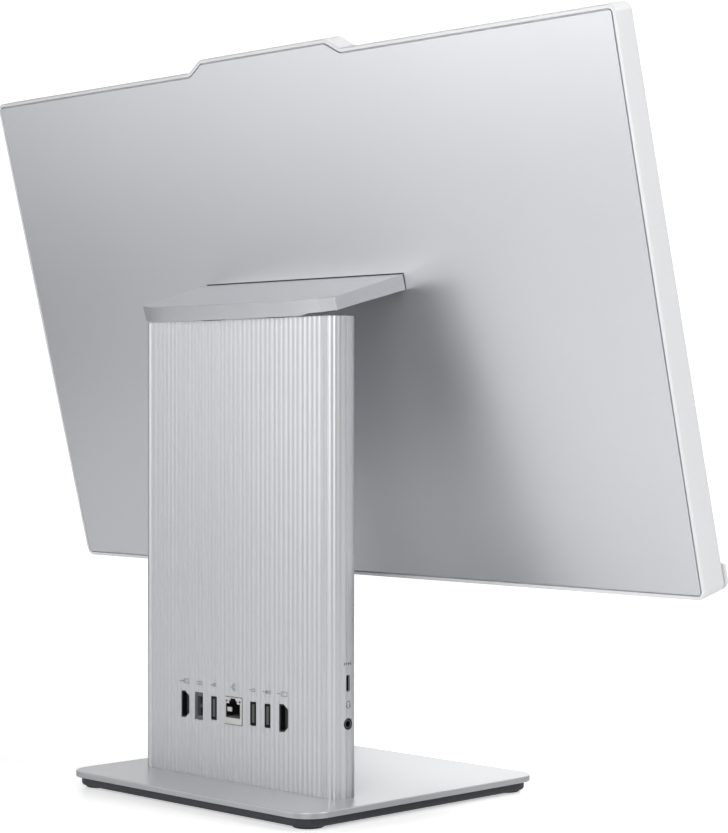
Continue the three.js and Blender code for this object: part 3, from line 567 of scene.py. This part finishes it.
for name, x, w, h, kind in PORTS:
    cs = port_corners((name, x, w, h, kind))
    if kind == "hdmi":
        mesh_object(name + "_shell", *tube_y(cs, 54.35, 42.1, 0.75), M["socket"], "stand", replaces=[name], slot="black_plastic")
        tongue = slab_y(box_corners(x - 0.4, x + 0.8, PORT_Z - 5.4, PORT_Z + 5.4, 0.2), 43.0, 52.4, 0.1, 0.25)
        mesh_object(name + "_tongue", *tongue, M["socket"], "stand", slot="black_plastic")
        pins = merge(*[slab_y(box_corners(x - 0.55, x - 0.38, PORT_Z + d - 0.16, PORT_Z + d + 0.16, 0.03), 44.0, 51.6, 0.02, 0.05, 2, 2) for d in (-4.5, -3.5, -2.5, -1.5, -0.5, 0.5, 1.5, 2.5, 3.5, 4.5)])
        mesh_object(name + "_contacts", *pins, M["gold"], "stand", slot="black_plastic", weighted=False)
    elif kind == "usb":
        mesh_object(name + "_shell", *tube_y(cs, 54.4, 42.1, 0.7), M["socket"], "stand", replaces=[name], slot="black_plastic")
        tongue = slab_y(box_corners(x - 0.55, x + 1.95, PORT_Z - 5.6, PORT_Z + 5.6, 0.3), 43.0, 54.05, 0.1, 0.25)
        edge = slab_y(box_corners(x + 0.1, x + 0.65, PORT_Z - 5.0, PORT_Z + 5.0, 0.1), 53.9, 54.14, 0.02, 0.08)
        mesh_object(name + "_tongue_rib", *edge, M["tongue_light"], "stand", slot="black_plastic", weighted=False)
        mesh_object(name + "_tongue", *tongue, M["tongue"], "stand", slot="black_plastic")
        pins = merge(*[slab_y(box_corners(x - 0.75, x - 0.5, PORT_Z + d - 0.5, PORT_Z + d + 0.5, 0.08), 45.0, 52.2, 0.02, 0.06, 2, 2) for d in (-3.5, -1.0, 1.0, 3.5)])
        mesh_object(name + "_contacts", *pins, M["gold"], "stand", slot="black_plastic", weighted=False)
    elif kind == "dc":
        R = lambda inset, y: [(px, y, pz) for px, pz in rpoly(cs, inset, 4)]
        ri = box_corners(x - 2.6, x + 2.45, PORT_Z - 5.9, PORT_Z + 5.7, 0.5)
        I = lambda inset, y: [(px, y, pz) for px, pz in rpoly(ri, inset, 4)]
        rings = [R(0, 42.1), R(0, 54.3), R(0.15, 54.45), R(0.7, 54.45), R(0.8, 54.1), I(-0.3, 54.0), I(-0.08, 53.9), I(0, 53.6), I(0, 44.2)]
        mesh_object(name + "_frame", *loft(rings), M["dcframe"], "stand", replaces=[name], slot="black_plastic")
        floor = slab_y(box_corners(x - 2.5, x + 2.35, PORT_Z - 5.8, PORT_Z + 5.6, 0.4), 44.3, 51.4, 0.1, 0.3)
        mesh_object(name + "_floor", *floor, M["socket"], "stand", slot="black_plastic")
        pin = lathe([(0, 51.0), (1.15, 51.0), (1.15, 52.75), (1.05, 52.9), (0.85, 52.9), (0.75, 52.75), (0.75, 51.8), (0, 51.8)], 28, "y", (x + 0.4, 0, PORT_Z))
        mesh_object(name + "_pin", *pin, M["tongue_light"], "stand", slot="black_plastic", sharp=50)
    else:
        zb = PORT_Z - 3.9

        def latch(g=0.0):
            """Plug opening with its stepped latch notch, grown by g all round."""
            return [(x - 6.1 - g, zb - g, 0.25), (x + 6.1 + g, zb - g, 0.25), (x + 6.1 + g, zb + 7.9 + g, 0.25), (x + 3.3 + g, zb + 7.9 + g, 0.2), (x + 3.3 + g, zb + 9.7 + g, 0.2), (x + 2.1 + g, zb + 9.7 + g, 0.2),
                    (x + 2.1 + g, zb + 11.0 + g, 0.25), (x - 2.1 - g, zb + 11.0 + g, 0.25), (x - 2.1 - g, zb + 9.7 + g, 0.2), (x - 3.3 - g, zb + 9.7 + g, 0.2), (x - 3.3 - g, zb + 7.9 + g, 0.2), (x - 6.1 - g, zb + 7.9 + g, 0.25)]

        body = slab_y(box_corners(x - w / 2 + 0.12, x + w / 2 - 0.12, PORT_Z - h / 2 + 0.12, PORT_Z + h / 2 - 0.12, 0.4), 42.1, 54.9, 0.1, 0.2, 4, 3)
        led_cuts = [prism_y(box_corners(x + s * 5.9 - 0.95, x + s * 5.9 + 0.95, zb + 9.0, zb + 10.2, 0.15), 54.3, 56, 3) for s in (-1, 1)]
        carve(name + "_shell", body, [prism_y(latch(0.28), 43.8, 56, 3)] + led_cuts, M["lan"], "stand", replaces=[name], slot="port_metal", weighted=False)
        L0 = [[(px, y, pz) for px, pz in rpoly(latch(g), 0, 3)] for g, y in ((0.26, 44.0), (0.26, 54.55), (0.0, 54.5), (0.0, 44.6), (0.0, 44.3))]
        mesh_object(name + "_lining", *loft(L0), M["lan_dark"], "stand", slot="black_plastic", weighted=False)
        frame_ring = slab_y(box_corners(x - w / 2 - 0.06, x + w / 2 + 0.06, PORT_Z - h / 2 - 0.06, PORT_Z + h / 2 + 0.06, 0.4), 42.2, 54.55, 0.1, 0.1)
        carve(name + "_gasket", frame_ring, [prism_y(box_corners(x - w / 2 + 0.14, x + w / 2 - 0.14, PORT_Z - h / 2 + 0.14, PORT_Z + h / 2 - 0.14, 0.4), 42.0, 56, 3)], M["lan_dark"], "stand", slot="black_plastic", weighted=False)
        for s, side in ((-1, "right"), (1, "left")):
            led = slab_y(box_corners(x + s * 5.9 - 0.8, x + s * 5.9 + 0.8, zb + 9.12, zb + 10.08, 0.12), 54.2, 54.45, 0.05, 0.05)
            mesh_object(name + "_led_" + side, *led, M["led"], "stand", slot="black_plastic")
        tab = slab_y(box_corners(x + 2.0, x + 6.08, zb + 3.2, zb + 5.9, 0.2), 53.35, 54.1, 0.1, 0.2)
        mesh_object(name + "_keeper", *tab, M["lan"], "stand", slot="port_metal")
        ramp = slab_y(box_corners(x - 6.0, x + 6.0, zb + 0.03, zb + 0.35, 0.1), 44.6, 54.0, 0.02, 0.1)
        mesh_object(name + "_ledge", *ramp, M["lan_floor"], "stand", slot="black_plastic", weighted=False)
        wires = merge(*[slab_y(box_corners(x - 3.7 + k * 1.02, x - 3.25 + k * 1.02, zb + 0.4, zb + 0.9, 0.08), 45.0, 50.5, 0.03, 0.1, 2, 2) for k in range(8)])
        mesh_object(name + "_contacts", *wires, M["tongue"], "stand", slot="black_plastic", weighted=False)

# side sockets
yc, zc = USBC[0], USBC[1]
shell = [(yc - 1.45, zc - 4.75, 1.4), (yc + 1.45, zc - 4.75, 1.4), (yc + 1.45, zc + 4.75, 1.4), (yc - 1.45, zc + 4.75, 1.4)]
R = lambda inset, x: [(x, y, z) for y, z in rpoly(shell, inset, 6)]
mesh_object("usb_c_port_shell", *loft([R(0, -CW + 6.2), R(0, -CW + 1.3), R(0.1, -CW + 1.2), R(0.25, -CW + 1.2), R(0.32, -CW + 1.3), R(0.35, -CW + 5.0)]), M["socket"], "stand", replaces=["usb_c_port"], slot="black_plastic")
mesh_object("usb_c_port_tongue", *slab_x(box_corners(yc - 0.35, yc + 0.35, zc - 3.3, zc + 3.3, 0.15), -CW + 2.2, -CW + 5.4, 0.12, 0.05), M["socket"], "stand", slot="black_plastic")
# painted highlight: a thin light grey ring at the audio jack's mouth stands in for the light on its bevel
JACK_HIGHLIGHT_RING = [(1.95, -CW + 0.6), (1.95, -CW + 0.22), (2.05, -CW + 0.12), (2.25, -CW + 0.12), (2.35, -CW + 0.22), (2.35, -CW + 0.6)]
jp = [(0, -CW + 5.6), (1.75, -CW + 5.6), (1.75, -CW + 0.75), (1.9, -CW + 0.55), (2.35, -CW + 0.45), (2.5, -CW + 0.2), (2.62, -CW + 0.12), (3.1, -CW + 0.12), (3.25, -CW + 0.3), (3.25, -CW + 6.2), (0, -CW + 6.2)]
mesh_object("audio_jack_finished", *lathe(jp, 48, "x", (0, JACK[0], JACK[1])), M["socket"], "stand", replaces=["audio_jack"], slot="black_plastic", sharp=40)
# painted highlight ring round the jack's mouth
highlight_rows = [[(px, JACK[0] + r * math.cos(a), JACK[1] + r * math.sin(a)) for r, px in JACK_HIGHLIGHT_RING] for a in [2 * math.pi * k / 48 for k in range(48)]]
mesh_object("audio_jack_painted_highlight", *loft(highlight_rows, closed=True), M["tongue_light"], "stand", slot="black_plastic", weighted=False, sharp=50)


# printed marks: generic pictures, a few hundredths of a millimetre proud of the ribs
def mark_y(parts, name, y=CY1 + 0.015):
    v, f = merge(*[prism_y(c, y - 0.05, y, 2) for c in parts])
    return mesh_object(name, v, f, M["print"], "stand", slot="black_plastic", weighted=False)


def bar(x0, x1, z0, z1, r=0.12):
    return box_corners(x0, x1, z0, z1, r)


def frame_marks(x0, x1, z0, z1, t=0.35):
    return [bar(x0, x1, z1 - t, z1), bar(x0, x1, z0, z0 + t), bar(x0, x0 + t, z0 + t, z1 - t, 0.02), bar(x1 - t, x1, z0 + t, z1 - t, 0.02)]


ZL = 66.5
# arrow into a small screen, arrow out of one; seen from behind, +x is on the left
mark_y([bar(46.9, 50.2, ZL - 0.25, ZL + 0.2)] + frame_marks(41.6, 45.9, ZL - 1.3, ZL + 1.5) + [[(47.0, ZL - 0.9, 0.05), (47.0, ZL + 0.9, 0.05), (46.2, ZL, 0.05)]], "mark_video_in")
mark_y(frame_marks(29.9, 31.9, ZL - 1.2, ZL + 1.2) + [bar(32.3, 34.1, ZL + 0.5, ZL + 0.9), bar(32.3, 34.1, ZL - 0.9, ZL - 0.5)], "mark_power")
mark_y([bar(18.9, 21.2, ZL - 0.2, ZL + 0.2)] + frame_marks(16.6, 18.9, ZL - 0.9, ZL + 0.9), "mark_usb_1")
mark_y(frame_marks(-0.9, 1.0, ZL - 2.0, ZL - 0.2) + frame_marks(-0.9, 1.0, ZL + 0.7, ZL + 2.4) + [bar(1.6, 3.3, ZL + 0.0, ZL + 0.4)] + [bar(1.2, 1.6, ZL - 1.2, ZL + 1.6, 0.05)], "mark_network")
mark_y([bar(-15.9, -13.6, ZL - 0.2, ZL + 0.2)] + frame_marks(-18.6, -15.9, ZL - 0.9, ZL + 0.9), "mark_usb_2")
mark_y([bar(-27.2, -25.2, ZL - 0.2, ZL + 0.2)] + frame_marks(-32.3, -29.6, ZL - 0.9, ZL + 0.9) + [bar(-29.2, -27.8, ZL - 0.9, ZL + 0.9, 0.3)], "mark_usb_3")
mark_y([bar(-40.9, -37.6, ZL - 0.25, ZL + 0.2)] + frame_marks(-46.4, -41.6, ZL - 1.3, ZL + 1.5), "mark_video_out")


def mark_x(parts, name, x=-CW - 0.015):
    v, f = merge(*[prism_x(c, x, x + 0.05, 3) for c in parts])
    return mesh_object(name, v, f, M["print"], "stand", slot="black_plastic", weighted=False)


mark_x([bar(42.3, 48.0, 86.8, 87.2), bar(42.5, 43.2, 86.0, 88.1), bar(44.0, 44.8, 86.1, 87.9), bar(45.9, 46.5, 86.2, 87.8), bar(47.3, 48.0, 86.1, 87.8)], "mark_usb_c")
mark_x([bar(43.1, 43.7, 62.8, 65.2), bar(45.5, 46.1, 62.8, 65.2), bar(43.4, 45.8, 65.2, 65.8, 0.25), bar(42.8, 43.9, 61.8, 63.6, 0.4), bar(45.2, 46.3, 61.8, 63.6, 0.4), bar(43.8, 45.3, 61.4, 61.9)], "mark_audio")

# ------------------------------------------------------------------ display
def panel_corners(rt=5.0, rb=5.5, rbump=6.0):
    return [(-HW, V0, rb), (HW, V0, rb), (HW, V1, rt), (BUMP_BASE, V1, rbump), (BUMP_TOP, V1 + BUMP, rbump), (-BUMP_TOP, V1 + BUMP, rbump), (-BUMP_BASE, V1, rbump), (-HW, V1, rt)]


def P(inset, w, rt=5.0, rb=5.5, n=8):
    """Ring of the panel's outline at depth w; w can be a function of the height v."""
    return [(u, (w(v) if callable(w) else w), v) for u, v in rpoly(panel_corners(rt, rb), inset, n)]


# mid frame: rounded rim behind, side wall, rounded front edge
fr = 3.2
rings = [P(2.2, -1.9), P(2.2, -0.35), P(2.1, -0.12), P(1.85, 0.0), P(0.9, 0.0), P(0.45, -0.12), P(0.14, -0.42), P(0.0, -0.95)]
for k in range(9):
    a = k / 8 * math.pi / 2
    rings.append(P(fr * (1 - math.cos(a)), (lambda v, s=fr * (1 - math.sin(a)): wfront(v) + s)))
rings += [P(3.45, lambda v: wfront(v) + 0.08), P(3.5, lambda v: wfront(v) + 0.4), P(3.5, lambda v: wfront(v) + 1.3), P(1.8, lambda v: wfront(v) + 1.3), P(1.8, -3.6), P(4.0, -3.0), P(4.0, -1.9)]
mesh_object("mid_frame_finished", *loft(rings, closed=True), M["rim"], "display", matrix=DISP, replaces=["mid_frame"], slot="silver_rim")

# back cover: flat sheet in the groove, with the slot for the hinge arm under the cap
back = loft([P(3.0 + i, w) for i, w in low_edge(-1.6, 0.15, 2) + high_edge(0.0, 0.3, 4)])
slot_cut = prism_y(box_corners(-60, 60, 37.4, 43.2, 0.8), -5, 5)
carve("back_cover_finished", back, [slot_cut], M["silver"], "display", matrix=DISP, replaces=["back_cover"], slot="silver_paint", weighted=True)

# chin bar
chin = box_corners(-HW, HW, V0, -127.2, 1.0)
chin[0] = (-HW, V0, 5.5); chin[1] = (HW, V0, 5.5)
rings = []
wb = wfront(V0) - 0.3
for i, w in [(0.15, wb)] + [(0.0, wb - 0.15)] + [(1.3 * (1 - math.cos(k / 5 * math.pi / 2)), -22.7 + 1.3 * (1 - math.sin(k / 5 * math.pi / 2))) for k in range(6)]:
    rings.append([(u, w, v) for u, v in rpoly(chin, i, 8)])
mesh_object("chin_bar_finished", *loft(rings), M["rim"], "display", matrix=DISP, replaces=["chin_bar"], slot="silver_rim")

# front: black border and the screen inside it, parallel to the front plane
def F(corners, inset, y, n=6):
    """Ring in the front plane's own coordinates: y back from the front plane, z down from its upper edge."""
    out = []
    for x, z in rpoly(corners, inset, n):
        v = V1 + z
        out.append((x, wfront(v) + y, v))
    return out


fx = HW - 3.8
bz = [(-fx, -306.5, 2.0), (fx, -306.5, 2.0), (fx, -3.9, 2.0), (-fx, -3.9, 2.0)]
ac = [(-263.5, -303.5, 0.4), (263.5, -303.5, 0.4), (263.5, -7.0, 0.4), (-263.5, -7.0, 0.4)]
rings = [F(bz, 0, 1.5), F(bz, 0, 0.55), F(bz, 0.12, 0.42), F(bz, 0.4, 0.4), F(ac, -0.5, 0.4), F(ac, -0.2, 0.45), F(ac, 0, 0.65), F(ac, 0, 1.5)]
mesh_object("front_bezel_finished", *loft(rings, closed=True), M["black"], "display", matrix=DISP, replaces=["front_bezel"], slot="black_plastic")
sc = [(-266.5, -305.5, 0.5), (266.5, -305.5, 0.5), (266.5, -5.0, 0.5), (-266.5, -5.0, 0.5)]
mesh_object("lcd_panel_finished", *loft([F(sc, 0, 6.3), F(sc, 0, 1.75), F(sc, 0.15, 1.62)]), M["screen"], "display", matrix=DISP, replaces=["lcd_panel"], slot="screen")

# camera bump cover, shutter and lens
cov = [(-50, 173.6, 1.2), (50, 173.6, 1.2), (50, 181.2, 3), (44.5, 185.8, 3), (-44.5, 185.8, 3), (-50, 181.2, 3)]
cover = slab_y(cov, -17.6, -16.5, 0.5, 0.1, 6, 4)
hole = lathe([(0, -20), (3.6, -20), (3.6, -15), (0, -15)], 40, "y", (0, 0, 180.0))
hole = ([(x, y, z) for x, y, z in hole[0]], hole[1])
slotc = prism_y(box_corners(14, 31, 178.6, 181.6, 1.3), -20, -15, 5)
carve("camera_cover_finished", cover, [hole, slotc], M["black"], "display", matrix=DISP, replaces=["camera_cover"], slot="black_plastic", weighted=False)
sh = merge(slab_y(box_corners(5.6, 34, 176.0, 184.0, 0.8), -16.2, -15.6, 0.1, 0.1), slab_y(box_corners(23.5, 29.5, 178.9, 181.3, 1.1), -18.4, -16.0, 0.4, 0.05, 6, 4))
mesh_object("camera_shutter_finished", *sh, M["black"], "shutter", matrix=DISP, replaces=["camera_shutter"], slot="black_plastic")
lens = lathe([(0, -15.0), (1.4, -15.04), (2.2, -15.12), (2.5, -15.28), (2.9, -15.3), (3.1, -15.2), (3.15, -14.4), (0, -14.4)], 40, "y", (0, 0, 180.0))
mesh_object("camera_lens", *lens, M["lens"], "display", matrix=DISP, slot="black_plastic", sharp=50)

# power key on the lower edge
key = slab_z(box_corners(230, 242, -14.5, -9.5, 2.4), V0 + 0.15, V0 + 5.4, 0.4, 0.1, n=8)
mesh_object("power_button_finished", *key, M["rim"], "power_key", matrix=DISP, replaces=["power_button"], slot="silver_rim")

# ------------------------------------------------------------------ hinge cap
CS = math.radians(-1.5)
CAPM = DISP @ Matrix.Translation((0, 0, 46.0)) @ Matrix.Rotation(CS, 4, "X")


def cap_outline(inset, n=6):
    """Anticlockwise outline with a crowned rear edge and flattened rear corners."""
    line = []
    for k in range(25):
        x = 60.0 * (1 - k / 12)
        line.append((x, 62.0 - 0.7 * (x / 60.0) ** 2))
    turn = [(66.0, 60.98), (71.5, 60.45), (75.2, 59.95), (76.2, 59.68), (77.6, 59.2), (81.0, 58.02), (84.7, 56.72)]
    nose = [(85.25, 56.5), (85.55, 56.28), (85.72, 55.95), (85.76, 55.5)]
    right = [(87.0, 0.5), (87.32, 0.62), (87.4, 0.95), (86.9, 18.0), (86.35, 36.0)] + nose[::-1] + turn[::-1]
    left = [(-x, y) for x, y in reversed(right)]
    pts = right + line + left
    res = []
    m = len(pts)
    for i, p in enumerate(pts):
        a, b = Vector(pts[i - 1]), Vector(pts[(i + 1) % m])
        t = (b - a).normalized()
        res.append((p[0] - t.y * inset, p[1] + t.x * inset))
    return res


CAP_T = 9.4


def cap_floor(x, y):
    """The lower edge is lifted at the rear corner beside the cable path."""
    t = min(1.0, max(0.0, (-x - 59.0) / 9.0))
    t = t * t * (3 - 2 * t)
    return 1.35 * t * min(1.0, max(0.0, (y - 4) / 44.0))


def cap_ring(inset, z, low=1.0):
    return [(x, y, z + low * cap_floor(x, y)) for x, y in cap_outline(inset)]


def cap_inside(z, low=0.0):
    """The same walk, 2.2 mm inside the outline."""
    return [(x * (1 - 2.2 / 87), 31 + (y - 31) * (1 - 2.2 / 31), z + low * cap_floor(x, y)) for x, y in cap_outline(0)]


rings = [cap_inside(-2.0), cap_inside(-CAP_T + 0.25, 1.0), cap_inside(-CAP_T, 1.0)]
rings += [cap_ring(i, -CAP_T + z) for i, z in low_edge(0, 0.22, 3)]
rings += [cap_ring(0, -CAP_T + 0.35 + (CAP_T - 0.95) * k / 4, 1 - k / 4) for k in range(1, 4)]
rings += [cap_ring(i, z, 0.0) for i, z in high_edge(0, 0.28, 4)]
mesh_object("hinge_cap_finished", *loft(rings), M["cap"], "display", matrix=CAPM, replaces=["hinge_cap"], slot="silver_paint", weighted=True, sharp=24)
low = [(-84.9, 2.9, 0.5), (84.9, 2.9, 0.5), (80.3, 52.7, 2), (60.8, 59.7, 10), (-60.8, 59.7, 10), (-80.3, 52.7, 2)]
low_plate = loft([[(x, y, z) for x, y in rpoly(low, i, 8)] for i, z in low_edge(-CAP_T + 0.15, 0.2, 2) + high_edge(-CAP_T + 1.6, 0.2, 2)])
# painted shade: the lower plate uses the near-black painted-shade colour, not the silver paint
carve("hinge_cap_lower_finished", low_plate, [loft([[(x, y, z) for x, y in rpoly(box_corners(-44, 44, 41, 57, 2), 0, 4)] for z in (-CAP_T - 3, -CAP_T + 5)])], M["cap_under_shade"], "display", matrix=CAPM, replaces=["hinge_cap_lower"], slot="silver_paint", weighted=False)

# painted shadow: a thin dark sheet in the joint between the cap and the back cover stands in for the shadow in the gap
gap_shadow_sheet = slab_y([(-87.5, -CAP_T + 0.1, 0.2), (87.5, -CAP_T + 0.1, 0.2), (87.5, 0.5, 0.2), (-87.5, 0.5, 0.2)], 0.06, 0.5, 0.08, 0.05, 2, 2)
mesh_object("hinge_cap_painted_gap_shadow", *gap_shadow_sheet, M["rubber"], "display", matrix=CAPM, slot="rubber", weighted=False)

# ------------------------------------------------------------------ stage and light
fl = bpy.data.meshes.new("floor")
S = 4.0
fl.from_pydata([(S * math.cos(2 * math.pi * k / 64), S * math.sin(2 * math.pi * k / 64), 0) for k in range(64)], [], [tuple(range(64))])
floor = bpy.data.objects.new("floor", fl)
bpy.context.scene.collection.objects.link(floor)
fm, nt, fb = new_mat("floor_white")
fb.inputs["Base Color"].default_value = (0.90, 0.90, 0.90, 1)
fb.inputs["Roughness"].default_value = 0.35
fb.inputs["Emission Color"].default_value = (1, 1, 1, 1)
lpf = nt.nodes.new("ShaderNodeLightPath")
glow = nt.nodes.new("ShaderNodeMapRange")
glow.inputs["To Min"].default_value = 0.16
glow.inputs["To Max"].default_value = 0.52
nt.links.new(lpf.outputs["Is Camera Ray"], glow.inputs["Value"])
nt.links.new(glow.outputs["Result"], fb.inputs["Emission Strength"])
# the floor fades into the white surround, so that there is no horizon
tcn = nt.nodes.new("ShaderNodeTexCoord")
ln = nt.nodes.new("ShaderNodeVectorMath")
ln.operation = "LENGTH"
nt.links.new(tcn.outputs["Object"], ln.inputs[0])
fade = nt.nodes.new("ShaderNodeMapRange")
fade.interpolation_type = "SMOOTHSTEP"
fade.inputs["From Min"].default_value = 0.75
fade.inputs["From Max"].default_value = 1.5
fade.inputs["To Min"].default_value = 1.0
fade.inputs["To Max"].default_value = 0.0
nt.links.new(ln.outputs["Value"], fade.inputs["Value"])
nt.links.new(fade.outputs["Result"], fb.inputs["Alpha"])
fl.materials.append(fm)

world = bpy.data.worlds.new("studio")
bpy.context.scene.world = world
world.use_nodes = True
wn = world.node_tree
bg = wn.nodes["Background"]
bg.inputs["Color"].default_value = (1, 1, 1, 1)
bg.inputs["Strength"].default_value = 0.03
lp = wn.nodes.new("ShaderNodeLightPath")
bg2 = wn.nodes.new("ShaderNodeBackground")
bg2.inputs["Color"].default_value = (1, 1, 1, 1)
bg2.inputs["Strength"].default_value = 1.2
mx = wn.nodes.new("ShaderNodeMixShader")
wn.links.new(lp.outputs["Is Camera Ray"], mx.inputs["Fac"])
wn.links.new(bg.outputs[0], mx.inputs[1])
wn.links.new(bg2.outputs[0], mx.inputs[2])
wn.links.new(mx.outputs[0], wn.nodes["World Output"].inputs["Surface"])


def area(name, az, el, dist, size, power, target=(0, 0, 0.22), size_y=None):
    """Soft box: az and el as the camera's, seen from the target."""
    d = bpy.data.lights.new(name, "AREA")
    d.energy = power
    d.size = size
    if size_y:
        d.shape = "RECTANGLE"
        d.size_y = size_y
    o = bpy.data.objects.new(name, d)
    bpy.context.scene.collection.objects.link(o)
    a, e = math.radians(az), math.radians(el)
    o.location = Vector(target) + dist * Vector((math.sin(a) * math.cos(e), -math.cos(a) * math.cos(e), math.sin(e)))
    o.rotation_euler = (Vector(target) - o.location).to_track_quat("-Z", "Y").to_euler()
    o.visible_camera = False
    return o


LIGHTS = [
    area("low_front_1", 30, 8, 1.5, 0.8, 3.0),
    area("low_front_2", 60, 8, 1.5, 0.8, 1.7),
    area("low_edge", 100, 6, 1.5, 0.8, 0.7),
    area("low_back_1", 135, 8, 1.5, 0.8, 2.2),
    area("low_back_2", 155, 8, 1.5, 0.8, 2.9),
    area("low_side", 280, 8, 1.5, 0.8, 2.0),
    area("key_side", 300, 35, 1.5, 0.8, 10.2),
    area("top_front", 0, 72, 1.5, 0.9, 7.2),
    area("near_back", 205, 5, 0.75, 0.5, 2.0, (-0.2, 0.0, 0.28)),
    area("near_high", 200, 30, 0.75, 0.5, 1.9, (-0.2, 0.0, 0.28)),
    area("small_back_1", 165, 6, 1.0, 0.35, 0.3, (0.0, 0.0, 0.2)),
]
bpy.context.scene.view_settings.view_transform = "Standard"
